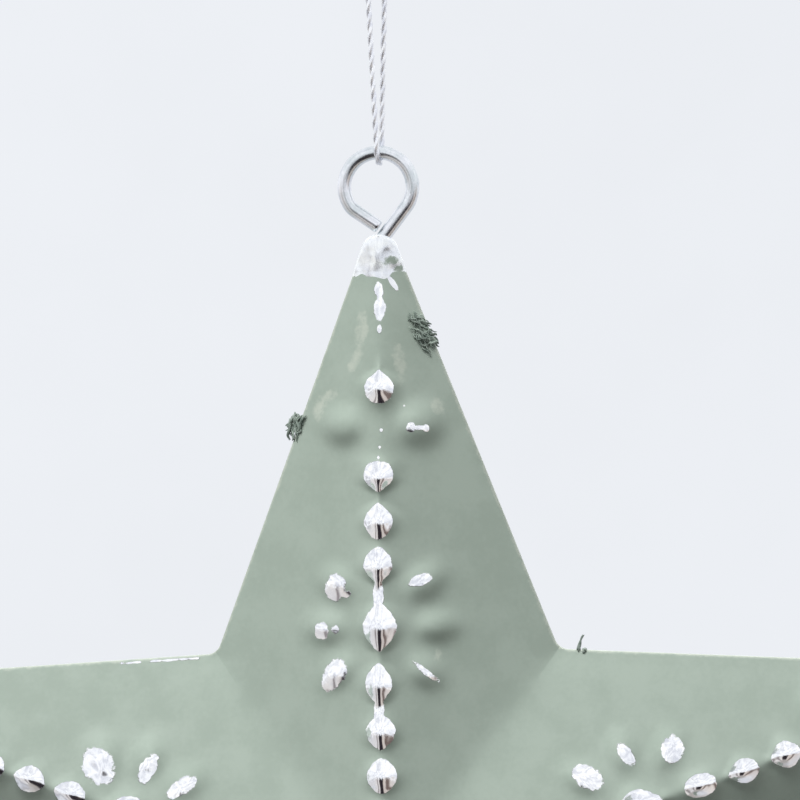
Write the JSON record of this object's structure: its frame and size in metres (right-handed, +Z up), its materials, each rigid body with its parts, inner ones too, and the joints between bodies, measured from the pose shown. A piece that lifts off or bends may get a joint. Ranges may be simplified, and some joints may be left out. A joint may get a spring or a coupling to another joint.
{
  "type": "hanging star ornament",
  "caption": "Hanging five-pointed star of painted pressed tin with embossed beads and petals, carried by a wire eye and a loop of metallic thread.",
  "frame": {"origin": "where a hook carries the thread loop, at the inside of its top", "axes": "+Z up along the hanging line, -Y out of the star's front, +X to the right of a viewer of the front"},
  "size_m": [0.1242, 0.0268, 0.1671],
  "materials": {
    "painted_tin": "semi-gloss sage green paint, rubbed to bare tin on the raised beads and petals",
    "bright_wire": "bright drawn steel wire",
    "solder": "bright soft solder with a lumpy surface",
    "seam_tack": "rough lumps under thick dark green paint",
    "thread": "silver metallic two-ply thread"
  },
  "bodies": {
    "cord": {"cord_left_strand": "thread", "cord_right_strand": "thread", "cord_knot": "thread"},
    "bight": {"cord_bight": "thread"},
    "star": {"front_shell": "painted_tin", "back_shell": "painted_tin", "hanger_eye": "bright_wire", "tip_solder": "solder", "seam_tack_top_right": "seam_tack", "seam_tack_top_left": "seam_tack", "seam_tack_right_upper": "seam_tack", "seam_tack_right_lower": "seam_tack", "seam_tack_low_right_outer": "seam_tack", "seam_tack_low_right_inner": "seam_tack", "seam_tack_low_left_inner": "seam_tack", "seam_tack_low_left_outer": "seam_tack", "seam_tack_left_lower": "seam_tack", "seam_tack_left_upper": "seam_tack"}
  },
  "joints": [
    {"name": "twirl", "type": "hinge", "parent": "cord", "child": "bight", "pos_m": [0, 0, -0.036], "axis": [0, 0, 1], "range_deg": [-180, 180]},
    {"name": "swing", "type": "hinge", "parent": "bight", "child": "star", "pos_m": [0, 0, -0.036], "axis": [1, 0, 0], "range_deg": [-90, 90]}
  ]
}
